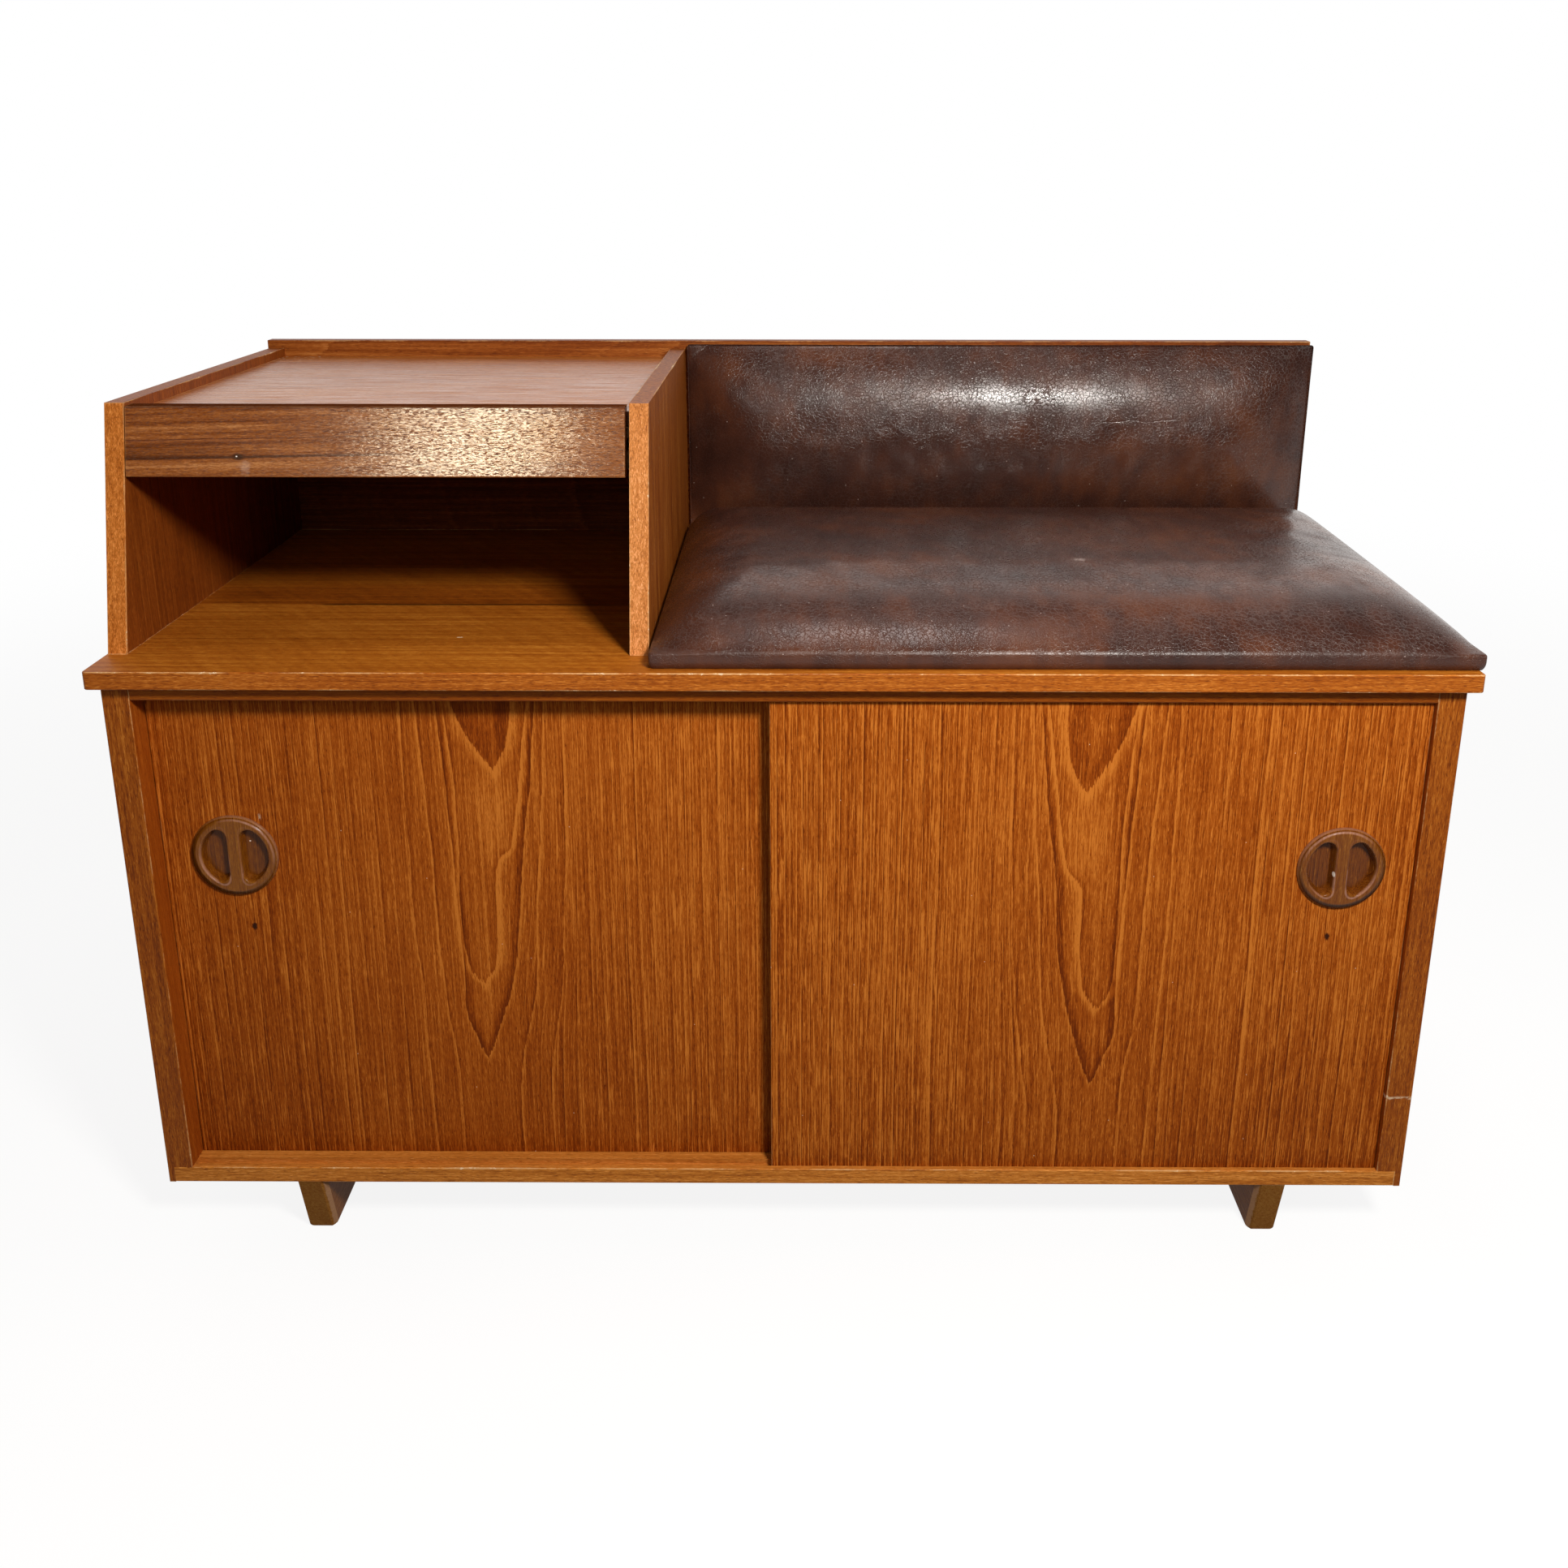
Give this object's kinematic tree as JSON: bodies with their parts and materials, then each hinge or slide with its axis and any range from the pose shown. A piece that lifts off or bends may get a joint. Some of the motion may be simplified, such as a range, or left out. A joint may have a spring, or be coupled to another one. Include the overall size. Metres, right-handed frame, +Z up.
{
  "type": "telephone bench",
  "caption": "Low teak cabinet with sliding doors, a padded seat and backrest at one end, and a phone shelf over a shallow drawer and an open bay at the other.",
  "frame": {"origin": "on the floor under the middle of the bench's length and depth", "axes": "+X along the bench towards the right end of the seat, -Y to the front with the doors, +Z up"},
  "size_m": [0.95, 0.408, 0.645],
  "materials": {
    "teak": "oiled teak veneer, satin, with open grain and worn arrises",
    "dark_teak": "darker solid teak, satin",
    "beech": "plain solid beech, unfinished",
    "plywood": "thin plywood, unfinished",
    "leatherette": "dark brown grained leatherette with red-brown mottling, satin gloss",
    "steel": "plain zinc steel screws and pins"
  },
  "bodies": {
    "root": {"seat_board": "teak", "side_panel_left": "teak", "side_panel_right": "teak", "bottom_board": "teak", "upper_track_rail": "teak", "centre_partition": "teak", "upper_side_panel": "teak", "divider_panel": "teak", "phone_shelf": "teak", "back_board": "teak", "runner_left": "dark_teak", "runner_right": "dark_teak", "drawer_runner_left": "beech", "drawer_runner_right": "beech", "cabinet_dowels": "beech", "upper_panel_dowels": "beech", "phone_shelf_dowels": "beech", "cabinet_back_panel": "plywood", "seat_pad_base": "plywood", "backrest_base": "plywood", "seat_cushion": "leatherette", "backrest_cushion": "leatherette", "bottom_board_screws": "steel", "runner_screws": "steel", "track_rail_screws": "steel", "back_board_screws": "steel", "seat_pad_screws": "steel", "backrest_screws": "steel", "drawer_runner_screws": "steel", "cabinet_back_pins": "steel"},
    "drawer": {"drawer_front": "teak", "drawer_side_left": "beech", "drawer_side_right": "beech", "drawer_back": "beech", "drawer_bottom": "plywood"},
    "left_door": {"door_left": "teak", "pull_left": "dark_teak"},
    "right_door": {"door_right": "teak", "pull_right": "dark_teak"}
  },
  "joints": [
    {"name": "drawer_slide", "type": "slide", "parent": "root", "child": "drawer", "axis": [0, -1, 0], "range_m": [0, 0.22]},
    {"name": "left_door_slide", "type": "slide", "parent": "root", "child": "left_door", "axis": [1, 0, 0], "range_m": [0, 0.4392]},
    {"name": "right_door_slide", "type": "slide", "parent": "root", "child": "right_door", "axis": [-1, 0, 0], "range_m": [0, 0.4392]}
  ]
}
